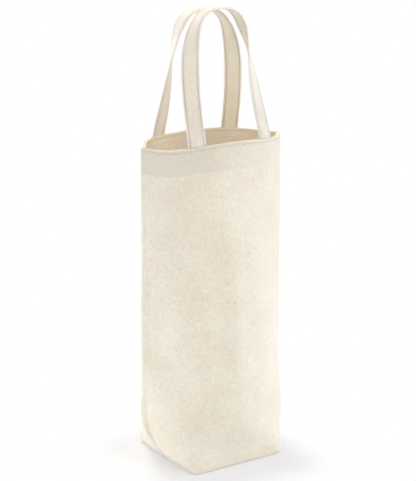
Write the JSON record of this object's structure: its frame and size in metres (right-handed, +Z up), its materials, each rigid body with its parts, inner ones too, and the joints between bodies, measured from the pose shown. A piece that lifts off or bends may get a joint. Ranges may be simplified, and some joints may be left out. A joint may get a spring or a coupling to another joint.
{
  "type": "bottle carrier",
  "caption": "Tall canvas bag with a boxed base, a faced rim and sewn carrying straps, for carrying an upright bottle.",
  "frame": {"origin": "middle of the base, on the surface that the bag stands on", "axes": "+Z up, front panel facing -Y, side seams at -X and +X"},
  "size_m": [0.166, 0.1086, 0.4602],
  "materials": {
    "canvas": "matt undyed plain-weave cotton canvas with seed flecks",
    "facing": "matt undyed plain-weave cotton canvas, in the shade of the bag",
    "strap": "matt undyed cotton canvas, folded and edge-stitched",
    "thread": "matt undyed cotton sewing thread"
  },
  "bodies": {
    "bag": {"front_panel": "canvas", "back_panel": "canvas", "base_panel": "canvas", "left_side_seam": "canvas", "right_side_seam": "canvas", "left_base_seam": "canvas", "right_base_seam": "canvas", "front_facing": "facing", "back_facing": "facing", "front_rim_allowance": "facing", "back_rim_allowance": "facing", "front_strap_left_end": "strap", "front_strap_right_end": "strap", "back_strap_left_end": "strap", "back_strap_right_end": "strap", "front_rim_thread": "thread", "back_rim_thread": "thread", "front_strap_tacks": "thread", "back_strap_tacks": "thread"},
    "front_handle": {"front_strap": "strap", "front_strap_thread": "thread"},
    "back_handle": {"back_strap": "strap", "back_strap_thread": "thread"}
  },
  "joints": [
    {"name": "front_handle_swing", "type": "hinge", "parent": "bag", "child": "front_handle", "pos_m": [0, -0.04185, 0.33337], "axis": [1, 0, 0], "range_deg": [-1.8, 180]},
    {"name": "back_handle_swing", "type": "hinge", "parent": "bag", "child": "back_handle", "pos_m": [0, 0.04185, 0.33337], "axis": [-1, 0, 0], "range_deg": [-1.8, 180]}
  ]
}
